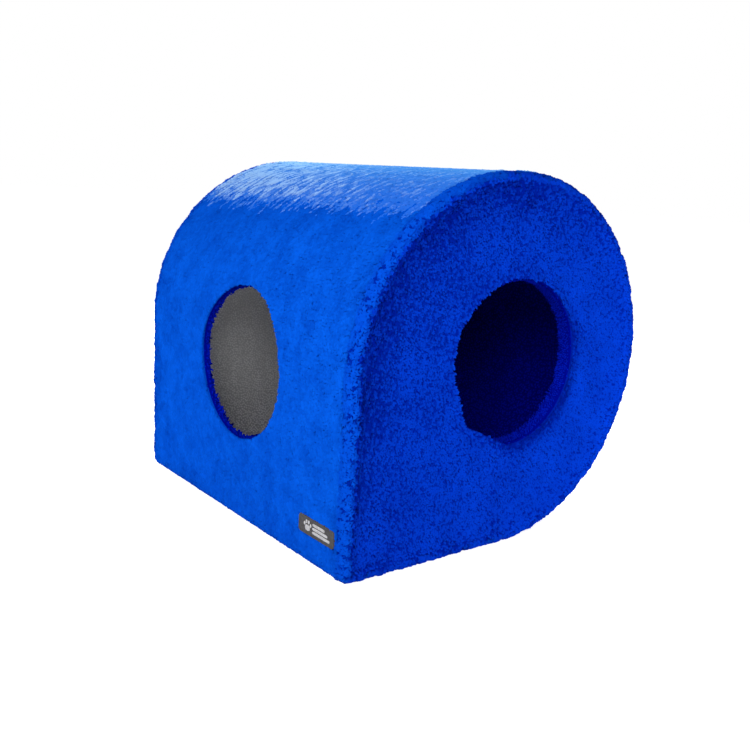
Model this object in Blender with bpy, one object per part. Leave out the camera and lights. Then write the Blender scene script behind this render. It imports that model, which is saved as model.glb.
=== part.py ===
"""Pet house: a plush-covered wooden den with a round entry and a round side window.

Seen from the front, the right side is a full half-round, the upper left is a large
bend, and the flat left wall meets the flat base in one square corner. The front faces
-Y, the left wall faces -X, and the origin is on the ground under the middle.

Two plywood end panels, a floor board and two rails make the frame. A bent hardboard
sheet is nailed round it, and plush is glued over everything, inside and out.
"""

import math

import bmesh
import bpy
from mathutils import Matrix, Vector

# Body, in metres
WIDTH = 0.416
HEIGHT = 0.400
DEPTH = 0.426
UPPER_LEFT_RADIUS = 0.200
SQUARE_CORNER_RADIUS = 0.012
RIM_RADIUS = 0.010

# Layers and boards
COVER = 0.005
SHEET = 0.003
LINING = 0.0025
PANEL = 0.012
BOARD = 0.015
BOARD_NOSE = 0.005
RAIL = 0.018
SEAM_FROM_LEFT = 0.030

# Entry in the front, and window in the left wall
ENTRY_RADIUS = 0.087
ENTRY_FROM_LEFT = 0.219
ENTRY_HEIGHT = 0.202
WINDOW_RADIUS = 0.085
WINDOW_FROM_FRONT = 0.207
WINDOW_HEIGHT = 0.181
TRIM = 0.004
LIP_RADIUS = 0.0015

# Tag on the left wall
TAG_LENGTH = 0.062
TAG_WIDTH = 0.019
TAG_THICKNESS = 0.0012
TAG_CORNER = 0.004
TAG_FROM_FRONT = 0.0435
TAG_HEIGHT = 0.0425

# Screws and nails, both countersunk
SCREW_LENGTH = 0.035
SCREW_SHANK = 0.00175
SCREW_HEAD = 0.0035
SCREW_HEAD_DEPTH = 0.0022
SCREW_TIP = 0.004
SCREW_SIDES = 10
SCREW_EDGE = 0.030
BOARD_SCREWS = 3
NAIL_LENGTH = 0.016
NAIL_SHANK = 0.0008
NAIL_HEAD = 0.0022
NAIL_HEAD_DEPTH = 0.0012
NAIL_TIP = 0.002
NAIL_SIDES = 6
NAIL_MARGIN = 0.060
NAILS_PER_BEND = 3
NAILS_PER_WALL = 1
NAILS_PER_ROW = 2

# Clearance between pieces that touch, and how far a cutter runs past what it cuts
GAP = 0.0003
OVERCUT = 0.010
MERGE = 0.000001

# Facets of the large bends, the small corners, the rims and the holes
BEND_STEPS = 21
CORNER_STEPS = 4
RIM_STEPS = 4
LIP_STEPS = 2
HOLE_SIDES = 48

# Places that follow from the sizes
HALF_ROUND = HEIGHT / 2
UPPER_LEFT = min(UPPER_LEFT_RADIUS, WIDTH - HALF_ROUND, HEIGHT - SQUARE_CORNER_RADIUS)
LEFT = -WIDTH / 2
FRONT = -DEPTH / 2
BASE_RIGHT = WIDTH / 2 - HALF_ROUND
BASE_LEFT = LEFT + SQUARE_CORNER_RADIUS
SHEET_INSET = COVER + GAP
WOOD_INSET = SHEET_INSET + SHEET + GAP
CABIN_INSET = WOOD_INSET + LINING
PANEL_DEPTH = COVER + GAP
JOINT_DEPTH = PANEL_DEPTH + PANEL + GAP
CABIN_DEPTH = JOINT_DEPTH + LINING + GAP
BOARD_TOP = WOOD_INSET + BOARD
LEFT_BEND = Vector((LEFT + UPPER_LEFT, 0, HEIGHT - UPPER_LEFT))
RIGHT_BEND = Vector((BASE_RIGHT, 0, HALF_ROUND))
LEFT_RAIL_ANGLE = 135
RIGHT_RAIL_ANGLE = 45


def clear_scene():
    for item in list(bpy.data.objects):
        bpy.data.objects.remove(item, do_unlink=True)


def make_material(name, colour, roughness, metallic=0.0):
    material = bpy.data.materials.new(name)
    material.use_nodes = True
    shader = material.node_tree.nodes["Principled BSDF"]
    shader.inputs["Base Color"].default_value = (*colour, 1.0)
    shader.inputs["Roughness"].default_value = roughness
    shader.inputs["Metallic"].default_value = metallic
    return material


def add_object(name, shape, material=None):
    """Put a bmesh into the scene as one object. Without a material it is a cutter."""
    mesh = bpy.data.meshes.new(name)
    shape.to_mesh(mesh)
    shape.free()
    mesh.shade_smooth()
    mesh.set_sharp_from_angle(angle=math.radians(30))
    item = bpy.data.objects.new(name, mesh)
    bpy.context.scene.collection.objects.link(item)
    if material:
        mesh.materials.append(material)
    else:
        item.hide_render = True
        item.display_type = "WIRE"
    return item


def combine(item, operation, *tools):
    """Cut the item with each tool, or keep only what lies inside it."""
    for tool in tools:
        modifier = item.modifiers.new(tool.name, "BOOLEAN")
        modifier.operation = operation
        modifier.solver = "EXACT"
        modifier.object = tool


def rounded(left, right, bottom, top, corners):
    """Points of a rectangle with a radius and steps at each corner, from the lower right round."""
    centres = ((right, -1, bottom, 1), (right, -1, top, -1), (left, 1, top, -1), (left, 1, bottom, 1))
    points = []
    for quarter, (across, inward, up, upward) in enumerate(centres):
        radius, steps = corners[quarter]
        for step in range(steps + 1):
            angle = math.radians(90 * (quarter - 1 + step / steps))
            points.append((
                across + radius * (inward + math.cos(angle)),
                up + radius * (upward + math.sin(angle)),
            ))
    return points


def outline(inset):
    """Outline of the body in the front view, this far inside the plush."""
    radii = (HALF_ROUND, HALF_ROUND, UPPER_LEFT, SQUARE_CORNER_RADIUS)
    steps = (BEND_STEPS, BEND_STEPS, BEND_STEPS, CORNER_STEPS)
    corners = [(max(radius - inset, 0.0), count) for radius, count in zip(radii, steps)]
    return rounded(LEFT + inset, -LEFT - inset, inset, HEIGHT - inset, corners)


def loft(name, rings, material=None):
    """A closed solid through rings of points, with a flat face at each end."""
    shape = bmesh.new()
    loops = [[shape.verts.new(point) for point in ring] for ring in rings]
    for near, far in zip(loops, loops[1:]):
        for index in range(len(near)):
            shape.faces.new((near[index - 1], near[index], far[index], far[index - 1]))
    shape.faces.new(loops[0])
    shape.faces.new(loops[-1])
    bmesh.ops.remove_doubles(shape, verts=shape.verts, dist=MERGE)
    bmesh.ops.recalc_face_normals(shape, faces=shape.faces)
    return add_object(name, shape, material)


def prism(name, points, start, end, material=None):
    """A front-view outline carried along Y from start to end."""
    rings = [[(x, y, z) for x, z in points] for y in (start, end)]
    return loft(name, rings, material)


def turned(profile, sides, closed=False):
    """A bmesh turned about Z from (radius, height) points."""
    shape = bmesh.new()
    verts = [shape.verts.new((radius, 0, height)) for radius, height in profile]
    edges = [shape.edges.new(pair) for pair in zip(verts, verts[1:])]
    if closed:
        edges.append(shape.edges.new((verts[-1], verts[0])))
    bmesh.ops.spin(
        shape, geom=verts + edges, axis=(0, 0, 1), cent=(0, 0, 0), angle=math.tau, steps=sides
    )
    bmesh.ops.remove_doubles(shape, verts=shape.verts, dist=MERGE)
    bmesh.ops.recalc_face_normals(shape, faces=shape.faces)
    return shape


def aimed(point, direction):
    """Matrix that carries a turned shape's +Z to this direction, at this point."""
    turn = Vector((0, 0, 1)).rotation_difference(Vector(direction))
    return Matrix.Translation(point) @ turn.to_matrix().to_4x4()


def hole_cutter(name, radius, place, depth):
    """A round bar that starts outside the body and runs this deep along the place's +Z."""
    shape = turned(((0, -OVERCUT), (radius, -OVERCUT), (radius, depth), (0, depth)), HOLE_SIDES)
    shape.transform(place)
    return add_object(name, shape)


def fastener_profile(length, shank, head, head_depth, tip, clearance):
    """Half section of a countersunk fastener driven down from the origin."""
    return (
        (0, clearance),
        (head + clearance, clearance),
        (head + clearance, 0),
        (shank + clearance, -head_depth),
        (shank + clearance, tip - length),
        (0, -length - clearance),
    )


def fasteners(name, sizes, sides, places, material):
    """Alike fasteners, one object each, and the cutter that clears a seat for every one."""
    pattern = bpy.data.meshes.new(name)
    turned(fastener_profile(*sizes, 0.0), sides).to_mesh(pattern)
    pattern.materials.append(material)
    seat = bpy.data.meshes.new(name + "_seat")
    turned(fastener_profile(*sizes, GAP), sides).to_mesh(seat)
    seats = bmesh.new()
    for number, (point, outward) in enumerate(places, start=1):
        fastener = bpy.data.objects.new(f"{name}_{number}", pattern)
        fastener.matrix_world = aimed(point, outward)
        bpy.context.scene.collection.objects.link(fastener)
        placed_seat = seat.copy()
        placed_seat.transform(aimed(point, outward))
        seats.from_mesh(placed_seat)
    return add_object(name + "_seats", seats)


def bend_place(centre, radius, quarter, share, y):
    """Middle of the facet at this share of a quarter bend, and the way out of the body."""
    facet = min(int(share * BEND_STEPS), BEND_STEPS - 1)
    angle = math.radians(90 * (quarter + (facet + 0.5) / BEND_STEPS))
    outward = Vector((math.cos(angle), 0, math.sin(angle)))
    reach = (radius - SHEET_INSET) * math.cos(math.radians(45 / BEND_STEPS))
    return centre + outward * reach + Vector((0, y, 0)), outward


def row(start, end, count):
    """Evenly spread numbers from start to end."""
    return [start + (end - start) * index / max(count - 1, 1) for index in range(count)]


def middles(start, end, count):
    """Middles of the equal shares between start and end."""
    return [start + (end - start) * (index + 0.5) / count for index in range(count)]


def rim_nail_places(y):
    """Nails through the sheet into the edge of an end panel, clear of board and rails."""
    places = []
    bends = (
        (RIGHT_BEND, HALF_ROUND, -1),
        (RIGHT_BEND, HALF_ROUND, 0),
        (LEFT_BEND, UPPER_LEFT, 1),
    )
    for centre, radius, quarter in bends:
        for count in range(NAILS_PER_BEND):
            places.append(bend_place(centre, radius, quarter, count / NAILS_PER_BEND, y))
    for z in middles(BOARD_TOP, HEIGHT - UPPER_LEFT, NAILS_PER_WALL):
        places.append((Vector((LEFT + SHEET_INSET, y, z)), Vector((-1, 0, 0))))
    return places


def row_depths():
    """Places along Y of the nails between the two end panels."""
    end = -FRONT - JOINT_DEPTH - NAIL_MARGIN
    return row(-end, end, NAILS_PER_ROW)


def rail_section(centre, radius, angle, growth):
    """Corners of a rail under a bend, reaching out through the sheet, in the front view."""
    turn = math.radians(angle)
    outward = Vector((math.cos(turn), 0, math.sin(turn)))
    along = Vector((-outward.z, 0, outward.x))
    seat = radius - WOOD_INSET
    half = RAIL / 2 + growth
    corners = (
        (seat - RAIL - growth, -half),
        (seat + OVERCUT, -half),
        (seat + OVERCUT, half),
        (seat - RAIL - growth, half),
    )
    points = [centre + outward * reach + along * side for reach, side in corners]
    return [(point.x, point.z) for point in points]


def rail_axis(centre, radius, angle):
    """Middle of a rail's section."""
    turn = math.radians(angle)
    reach = radius - WOOD_INSET - RAIL / 2
    return centre + Vector((math.cos(turn), 0, math.sin(turn))) * reach


def nose_x():
    """Where the floor board ends: its underside has followed the bend up to a thin nose."""
    underside = HALF_ROUND - (BOARD_TOP - BOARD_NOSE)
    return BASE_RIGHT + math.sqrt((HALF_ROUND - WOOD_INSET) ** 2 - underside ** 2)


def board_section(growth):
    """Corners of the floor board before the bend trims it, in the front view."""
    right = nose_x() + growth
    top = BOARD_TOP + growth
    return ((LEFT, -OVERCUT), (right, -OVERCUT), (right, top), (LEFT, top))


def body_prism(name, inset, depth, material=None):
    """The body's outline at one inset, between the same depths behind both end faces."""
    return prism(name, outline(inset), FRONT + depth, -FRONT - depth, material)


def end_plate(name, inset, near, thickness, side, material):
    """A flat plate across the body, this deep behind the front (side 1) or back (side -1)."""
    start = side * (FRONT + near)
    return prism(name, outline(inset), start, start + side * thickness, material)


def end_cover(name, side, material):
    """Plush over an end face, turned over the rim to a seam with the cover of the shell."""
    rings = []
    for step in range(RIM_STEPS + 1):
        angle = math.radians(90 * step / RIM_STEPS)
        y = side * (FRONT + RIM_RADIUS * (1 - math.cos(angle)))
        inset = RIM_RADIUS * (1 - math.sin(angle))
        rings.append([(x, y, z) for x, z in outline(inset)])
    cover = loft(name, rings, material)
    start = side * (FRONT + COVER)
    recess = prism(name + "_recess", outline(COVER), start, start + side * (RIM_RADIUS + OVERCUT))
    combine(cover, "DIFFERENCE", recess)
    return cover


def entry_trim(material):
    """Plush sleeve through the front wall, rolled over at both lips."""
    inner, outer = ENTRY_RADIUS, ENTRY_RADIUS + TRIM
    start, end = FRONT, FRONT + CABIN_DEPTH - GAP
    profile = []
    lips = ((inner, 1, start, 1, 180), (outer, -1, start, 1, 270),
            (outer, -1, end, -1, 0), (inner, 1, end, -1, 90))
    for radius, inward, y, along, first in lips:
        for step in range(LIP_STEPS + 1):
            angle = math.radians(first + 90 * step / LIP_STEPS)
            profile.append((
                radius + LIP_RADIUS * (inward + math.cos(angle)),
                y + LIP_RADIUS * (along + math.sin(angle)),
            ))
    shape = turned(profile, HOLE_SIDES, closed=True)
    shape.transform(aimed((LEFT + ENTRY_FROM_LEFT, 0, ENTRY_HEIGHT), (0, 1, 0)))
    return add_object("front_hole_trim", shape, material)


def window_trim(material):
    """Plush sleeve through the left wall, its ends flush with the curved faces there."""
    inner, outer = WINDOW_RADIUS, WINDOW_RADIUS + TRIM
    start, end = LEFT - OVERCUT, 0
    profile = ((inner, start), (outer, start), (outer, end), (inner, end))
    shape = turned(profile, HOLE_SIDES, closed=True)
    shape.transform(aimed((0, FRONT + WINDOW_FROM_FRONT, WINDOW_HEIGHT), (1, 0, 0)))
    trim = add_object("side_hole_trim", shape, material)
    combine(trim, "INTERSECT", body_prism("plush_volume", 0, -OVERCUT))
    combine(trim, "DIFFERENCE", body_prism("cabin_volume", CABIN_INSET, -2 * OVERCUT))
    return trim


def tag_block(name, growth, outer, inner, material=None):
    """The tag's outline, or the pocket's, between two distances out from the middle plane."""
    middle_y = FRONT + TAG_FROM_FRONT
    half_length = TAG_LENGTH / 2 + growth
    half_width = TAG_WIDTH / 2 + growth
    corners = [(TAG_CORNER + growth, CORNER_STEPS)] * 4
    points = rounded(
        middle_y - half_length, middle_y + half_length,
        TAG_HEIGHT - half_width, TAG_HEIGHT + half_width, corners,
    )
    return loft(name, [[(x, y, z) for y, z in points] for x in (outer, inner)], material)


def main():
    clear_scene()
    plush_blue = make_material("plush_blue", (0.002, 0.085, 0.62), 0.9)
    plush_gray = make_material("plush_gray", (0.16, 0.16, 0.16), 0.95)
    plywood = make_material("plywood", (0.62, 0.46, 0.29), 0.7)
    hardboard = make_material("hardboard", (0.27, 0.16, 0.08), 0.75)
    pine = make_material("pine", (0.72, 0.53, 0.31), 0.65)
    steel = make_material("zinc_steel", (0.62, 0.63, 0.65), 0.35, 1.0)
    tag_rubber = make_material("tag_rubber", (0.09, 0.09, 0.1), 0.55)

    entry_place = aimed((LEFT + ENTRY_FROM_LEFT, FRONT, ENTRY_HEIGHT), (0, 1, 0))
    window_place = aimed((LEFT, FRONT + WINDOW_FROM_FRONT, WINDOW_HEIGHT), (1, 0, 0))
    entry_hole = hole_cutter("entry_hole", ENTRY_RADIUS + TRIM + GAP, entry_place, CABIN_DEPTH + OVERCUT)
    window_hole = hole_cutter("window_hole", WINDOW_RADIUS + TRIM + GAP, window_place, -LEFT)
    inside_sheet = body_prism("inside_sheet", WOOD_INSET, -OVERCUT)

    # Wooden frame: end panels, floor board and rails
    front_panel = end_plate("front_panel", WOOD_INSET, PANEL_DEPTH, PANEL, 1, plywood)
    back_panel = end_plate("back_panel", WOOD_INSET, PANEL_DEPTH, PANEL, -1, plywood)
    combine(front_panel, "DIFFERENCE", entry_hole)
    joint = -FRONT - JOINT_DEPTH
    floor_board = prism("floor_board", board_section(0), -joint, joint, plywood)
    board_clearance = prism("board_clearance", board_section(GAP), FRONT, -FRONT)
    left_rail_seat = (LEFT_BEND, UPPER_LEFT, LEFT_RAIL_ANGLE)
    right_rail_seat = (RIGHT_BEND, HALF_ROUND, RIGHT_RAIL_ANGLE)
    left_rail = prism("left_rail", rail_section(*left_rail_seat, 0), -joint, joint, pine)
    right_rail = prism("right_rail", rail_section(*right_rail_seat, 0), -joint, joint, pine)
    for item in (floor_board, left_rail, right_rail):
        combine(item, "INTERSECT", inside_sheet)

    # Bent sheet, its ends butted at the square corner
    shell_sheet = body_prism("shell_sheet", SHEET_INSET, PANEL_DEPTH, hardboard)
    sheet_inner = body_prism("sheet_inner", SHEET_INSET + SHEET, 0)
    butt = ((LEFT, WOOD_INSET - GAP), (LEFT + WOOD_INSET, WOOD_INSET - GAP),
            (LEFT + WOOD_INSET, WOOD_INSET), (LEFT, WOOD_INSET))
    sheet_butt = prism("sheet_butt", butt, FRONT, -FRONT)
    combine(shell_sheet, "DIFFERENCE", sheet_inner, sheet_butt, window_hole)

    # Outer plush: a cover on each end face, and one wrapped round the shell to a seam below
    front_cover = end_cover("front_cover", 1, plush_blue)
    combine(front_cover, "DIFFERENCE", entry_hole)
    end_cover("back_cover", -1, plush_blue)
    shell_cover = body_prism("shell_cover", 0, RIM_RADIUS + GAP, plush_blue)
    cover_inner = body_prism("cover_inner", COVER, 0)
    seam = ((LEFT + SEAM_FROM_LEFT, -OVERCUT), (LEFT + SEAM_FROM_LEFT + GAP, -OVERCUT),
            (LEFT + SEAM_FROM_LEFT + GAP, COVER + GAP), (LEFT + SEAM_FROM_LEFT, COVER + GAP))
    cover_seam = prism("cover_seam", seam, FRONT, -FRONT)
    tag_pocket = tag_block("tag_pocket", GAP, LEFT - OVERCUT, LEFT + TAG_THICKNESS + GAP)
    combine(shell_cover, "DIFFERENCE", cover_inner, cover_seam, window_hole, tag_pocket)
    tag_block("side_tag", 0, LEFT, LEFT + TAG_THICKNESS, tag_rubber)

    # Inner plush: a gray back wall, blue everywhere else
    lining_rails = []
    for name, seat in (("left_rail", left_rail_seat), ("right_rail", right_rail_seat)):
        lining_rails.append(prism(name + "_clearance", rail_section(*seat, GAP), FRONT, -FRONT))
    for name, side, plush in (("front_lining", 1, plush_blue), ("back_lining", -1, plush_gray)):
        lining = end_plate(name, WOOD_INSET, JOINT_DEPTH, LINING, side, plush)
        combine(lining, "DIFFERENCE", board_clearance, *lining_rails)
        if side == 1:
            combine(lining, "DIFFERENCE", entry_hole)
    lining_inner = body_prism("lining_inner", CABIN_INSET, 0)
    for name, seat in (("left_rail", left_rail_seat), ("right_rail", right_rail_seat)):
        hump = prism(name + "_hump", rail_section(*seat, GAP + LINING), 2 * FRONT, -2 * FRONT)
        combine(lining_inner, "DIFFERENCE", hump)
    shell_lining = body_prism("shell_lining", WOOD_INSET, CABIN_DEPTH, plush_blue)
    combine(shell_lining, "DIFFERENCE", lining_inner, *lining_rails, board_clearance, window_hole)
    floor_slab = ((LEFT, BOARD_TOP + GAP), (-LEFT, BOARD_TOP + GAP),
                  (-LEFT, BOARD_TOP + GAP + LINING), (LEFT, BOARD_TOP + GAP + LINING))
    cabin = -FRONT - CABIN_DEPTH
    floor_lining = prism("floor_lining", floor_slab, -cabin, cabin, plush_blue)
    combine(floor_lining, "INTERSECT", body_prism("inside_lining", CABIN_INSET + GAP, -OVERCUT))
    entry_trim(plush_blue)
    window_trim(plush_blue)

    # Screws through the end panels into the board and the rails
    screw_sizes = (SCREW_LENGTH, SCREW_SHANK, SCREW_HEAD, SCREW_HEAD_DEPTH, SCREW_TIP)
    screw_points = [
        Vector((x, 0, WOOD_INSET + BOARD / 2))
        for x in row(LEFT + WOOD_INSET + SCREW_EDGE, BASE_RIGHT - SCREW_EDGE, BOARD_SCREWS)
    ]
    screw_points += [rail_axis(*left_rail_seat), rail_axis(*right_rail_seat)]
    for name, panel, side in (("front", front_panel, -1), ("back", back_panel, 1)):
        face = Vector((0, side * (-FRONT - PANEL_DEPTH), 0))
        places = [(point + face, Vector((0, side, 0))) for point in screw_points]
        seats = fasteners(name + "_panel_screw", screw_sizes, SCREW_SIDES, places, steel)
        for item in (panel, floor_board, left_rail, right_rail):
            combine(item, "DIFFERENCE", seats)

    # Nails through the sheet into the panels, the board and the rails
    nail_sizes = (NAIL_LENGTH, NAIL_SHANK, NAIL_HEAD, NAIL_HEAD_DEPTH, NAIL_TIP)
    panel_middle = -FRONT - PANEL_DEPTH - PANEL / 2
    board_nails = [
        (Vector((LEFT + SHEET_INSET, y, WOOD_INSET + BOARD / 2)), Vector((-1, 0, 0)))
        for y in row_depths()
    ]
    base_middle = (BASE_LEFT + BASE_RIGHT) / 2
    for y in row_depths():
        board_nails.append((Vector((base_middle, y, SHEET_INSET)), Vector((0, 0, -1))))
    left_nails = [bend_place(LEFT_BEND, UPPER_LEFT, 1, 0.5, y) for y in row_depths()]
    right_nails = [bend_place(RIGHT_BEND, HALF_ROUND, 0, 0.5, y) for y in row_depths()]
    nailed = (
        ("front_rim_nail", front_panel, rim_nail_places(-panel_middle)),
        ("back_rim_nail", back_panel, rim_nail_places(panel_middle)),
        ("floor_board_nail", floor_board, board_nails),
        ("left_rail_nail", left_rail, left_nails),
        ("right_rail_nail", right_rail, right_nails),
    )
    for name, wood, places in nailed:
        seats = fasteners(name, nail_sizes, NAIL_SIDES, places, steel)
        combine(wood, "DIFFERENCE", seats)
        combine(shell_sheet, "DIFFERENCE", seats)


main()
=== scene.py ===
import math
from functools import partial

import bmesh
import bpy
import numpy as np
from mathutils import Matrix, Vector


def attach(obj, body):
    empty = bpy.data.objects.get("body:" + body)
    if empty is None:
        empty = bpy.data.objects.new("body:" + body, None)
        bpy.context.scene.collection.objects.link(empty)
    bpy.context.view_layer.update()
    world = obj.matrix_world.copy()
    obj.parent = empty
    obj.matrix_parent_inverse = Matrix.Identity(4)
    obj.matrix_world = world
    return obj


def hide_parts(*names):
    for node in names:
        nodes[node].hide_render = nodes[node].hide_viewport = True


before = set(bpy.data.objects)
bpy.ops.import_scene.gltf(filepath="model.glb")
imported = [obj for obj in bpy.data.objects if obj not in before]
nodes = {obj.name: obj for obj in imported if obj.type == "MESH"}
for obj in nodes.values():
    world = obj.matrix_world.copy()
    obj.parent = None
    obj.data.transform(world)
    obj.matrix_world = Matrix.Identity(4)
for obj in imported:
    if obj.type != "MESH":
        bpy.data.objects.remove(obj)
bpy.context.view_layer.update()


# Studio: a white floor and surround, and four soft lamps: a big one high on the left, one that
# lights the room through the window, a low one at the front right, and one behind that grazes
# the top. The camera stands where the photograph's stood, a little above the house.
scene = bpy.context.scene
scene.view_settings.view_transform = "Standard"


def node(tree, kind, inputs=None, **settings):
    """Add a node, set it up, and link or set its inputs by name or number."""
    made = tree.nodes.new(kind)
    for name, value in settings.items():
        setattr(made, name, value)
    for key, value in (inputs or {}).items():
        if isinstance(value, bpy.types.NodeSocket):
            tree.links.new(value, made.inputs[key])
        else:
            made.inputs[key].default_value = value
    return made


def calc(tree, operation, first, second=0.5, third=0.5):
    """Output of a Math node."""
    return node(tree, "ShaderNodeMath", {0: first, 1: second, 2: third}, operation=operation).outputs[0]


def seen_directly(tree):
    """1 for rays from the camera, a mirror or a glass, and 0 for light that falls on things."""
    path = node(tree, "ShaderNodeLightPath").outputs
    straight = calc(tree, "MAXIMUM", path["Is Camera Ray"], path["Is Glossy Ray"])
    return calc(tree, "MAXIMUM", straight, path["Is Transmission Ray"])


camera = bpy.data.objects.new("camera", bpy.data.cameras.new("camera"))
camera.data.sensor_width = 36.0
camera.data.lens = 43.06
camera.data.clip_start = 0.05
camera.data.clip_end = 30.0
stand, heading, dip, twist = (-0.6859, -0.8539, 0.3877), -38.32, 12.48, 3.18
camera.matrix_world = (
    Matrix.Translation(stand)
    @ Matrix.Rotation(math.radians(heading), 4, "Z")
    @ Matrix.Rotation(math.radians(90 - dip), 4, "X")
    @ Matrix.Rotation(math.radians(twist), 4, "Z")
)
scene.collection.objects.link(camera)
scene.camera = camera

world = bpy.data.worlds.new("white_surround")
world.use_nodes = True
world.node_tree.nodes.clear()
sky = world.node_tree
light_share = 0.20
strength = node(sky, "ShaderNodeMapRange", {0: seen_directly(sky), 3: light_share, 4: 1.0}).outputs[0]
surround = node(sky, "ShaderNodeBackground", {"Color": (1.0, 1.0, 1.0, 1.0), "Strength": strength})
node(sky, "ShaderNodeOutputWorld", {"Surface": surround.outputs[0]})
scene.world = world


def soft_lamp(name, place, target, size, power):
    """A square lamp of this size in metres, turned towards the target."""
    lamp = bpy.data.lights.new(name, "AREA")
    lamp.shape = "SQUARE"
    lamp.size = size
    lamp.energy = power
    item = bpy.data.objects.new(name, lamp)
    aim = (Vector(target) - Vector(place)).to_track_quat("-Z", "Y")
    item.matrix_world = Matrix.Translation(place) @ aim.to_matrix().to_4x4()
    item.visible_camera = False
    scene.collection.objects.link(item)


soft_lamp("key_lamp", (-1.84, -0.87, 1.26), (0.0, 0.0, 0.2), 1.4, 33.0)
soft_lamp("window_lamp", (-1.1, -1.4, 0.95), (0.0, 0.0, 0.2), 0.6, 8.5)
soft_lamp("front_lamp", (0.30, -0.82, 0.08), (0.05, -0.2, 0.08), 0.24, 2.35)
soft_lamp("back_lamp", (0.55, 1.36, 0.92), (0.0, 0.0, 0.38), 0.5, 35.0)

floor_mesh = bpy.data.meshes.new("studio_floor")
far = 12.0
floor_mesh.from_pydata([(-far, -far, 0), (far, -far, 0), (far, far, 0), (-far, far, 0)], [], [(0, 1, 2, 3)])
studio_floor = bpy.data.objects.new("studio_floor", floor_mesh)
scene.collection.objects.link(studio_floor)
paper = bpy.data.materials.new("white_floor")
paper.use_nodes = True
paper.node_tree.nodes.clear()
sheet = paper.node_tree
matt = node(sheet, "ShaderNodeBsdfDiffuse", {"Color": (0.82, 0.82, 0.82, 1.0)})
extra_white = 0.86
lift = calc(sheet, "MULTIPLY", seen_directly(sheet), extra_white)
glow = node(sheet, "ShaderNodeEmission", {"Color": (1.0, 1.0, 1.0, 1.0), "Strength": lift})
both = node(sheet, "ShaderNodeAddShader", {0: matt.outputs[0], 1: glow.outputs[0]})
node(sheet, "ShaderNodeOutputMaterial", {"Surface": both.outputs[0]})
floor_mesh.materials.append(paper)


# End panels and floor board: plywood, 12 and 15 mm thick, sawn to the house's outline.
# Thin plies lie across each other, so the faces show long grain and the edges show stripes.
# They are hidden under the plush.
def shader_group(name, inputs, outputs):
    """An empty shader node group with named sockets, and its input and output nodes."""
    tree = bpy.data.node_groups.new(name, "ShaderNodeTree")
    kinds = {"colour": "NodeSocketColor", "number": "NodeSocketFloat", "vector": "NodeSocketVector"}
    for label, (kind, value) in inputs.items():
        socket = tree.interface.new_socket(label, in_out="INPUT", socket_type=kinds[kind])
        if value is not None:
            socket.default_value = value
    for label, kind in outputs.items():
        tree.interface.new_socket(label, in_out="OUTPUT", socket_type=kinds[kind])
    return tree, node(tree, "NodeGroupInput").outputs, node(tree, "NodeGroupOutput").inputs


def mixed(tree, share, first, second):
    """Output of a colour Mix node."""
    mix = node(tree, "ShaderNodeMix", {0: share}, data_type="RGBA")
    for socket, value in ((mix.inputs[6], first), (mix.inputs[7], second)):
        if isinstance(value, bpy.types.NodeSocket):
            tree.links.new(value, socket)
        else:
            socket.default_value = value
    return mix.outputs[2]


def ramp(tree, value, low, high, start=0.0, end=1.0):
    """Smooth change of a value from one range to another."""
    made = node(tree, "ShaderNodeMapRange", {0: value, 1: low, 2: high, 3: start, 4: end})
    made.interpolation_type = "SMOOTHSTEP"
    return made.outputs[0]


def noise(tree, point, scale, detail, roughness=0.5):
    """Outputs of a Noise Texture node."""
    inputs = {"Vector": point, "Scale": scale, "Detail": detail, "Roughness": roughness}
    return node(tree, "ShaderNodeTexNoise", inputs).outputs


def object_point(tree):
    """The shaded point, in the object's own metres."""
    return node(tree, "ShaderNodeTexCoord").outputs["Object"]


grain, grain_in, grain_out = shader_group(
    "wood_grain",
    {
        "Point": ("vector", None),
        "Pale": ("colour", (0.74, 0.57, 0.36, 1.0)),
        "Dark": ("colour", (0.50, 0.33, 0.17, 1.0)),
        "Ring Width": ("number", 0.009),
    },
    {"Color": "colour", "Height": "number"},
)
fibre_squeeze, ring_squeeze = (6.0, 90.0, 90.0), (0.12, 1.0, 1.0)
point = grain_in["Point"]
stretched = node(grain, "ShaderNodeVectorMath", {0: point, 1: fibre_squeeze}, operation="MULTIPLY")
fibre = noise(grain, stretched.outputs[0], 6.0, 4.0)[0]
bowed = node(grain, "ShaderNodeVectorMath", {0: point, 1: ring_squeeze}, operation="MULTIPLY")
ring_scale = calc(grain, "DIVIDE", 0.16, grain_in["Ring Width"])
rings = node(grain, "ShaderNodeTexWave", {
    "Vector": bowed.outputs[0], "Scale": ring_scale, "Distortion": 5.0, "Detail": 2.0, "Detail Scale": 0.6,
}, bands_direction="Y")
lines = ramp(grain, rings.outputs["Fac"], 0.25, 0.95)
share = calc(grain, "MULTIPLY_ADD", fibre, 0.5, calc(grain, "MULTIPLY", lines, 0.5))
grain.links.new(mixed(grain, share, grain_in["Pale"], grain_in["Dark"]), grain_out["Color"])
grain.links.new(fibre, grain_out["Height"])


def finish(name, **sockets):
    """A material with its shader; constants go straight on the shader's sockets."""
    made = bpy.data.materials.new(name)
    made.use_nodes = True
    shader = made.node_tree.nodes["Principled BSDF"]
    for label, value in sockets.items():
        shader.inputs[label.replace("_", " ")].default_value = value
    return made, made.node_tree, shader


def raised(tree, shader, height, depth):
    """Feed a height through a Bump node into the shader's normal."""
    bump = node(tree, "ShaderNodeBump", {"Strength": 0.6, "Distance": depth, "Height": height})
    tree.links.new(bump.outputs[0], shader.inputs["Normal"])


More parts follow.
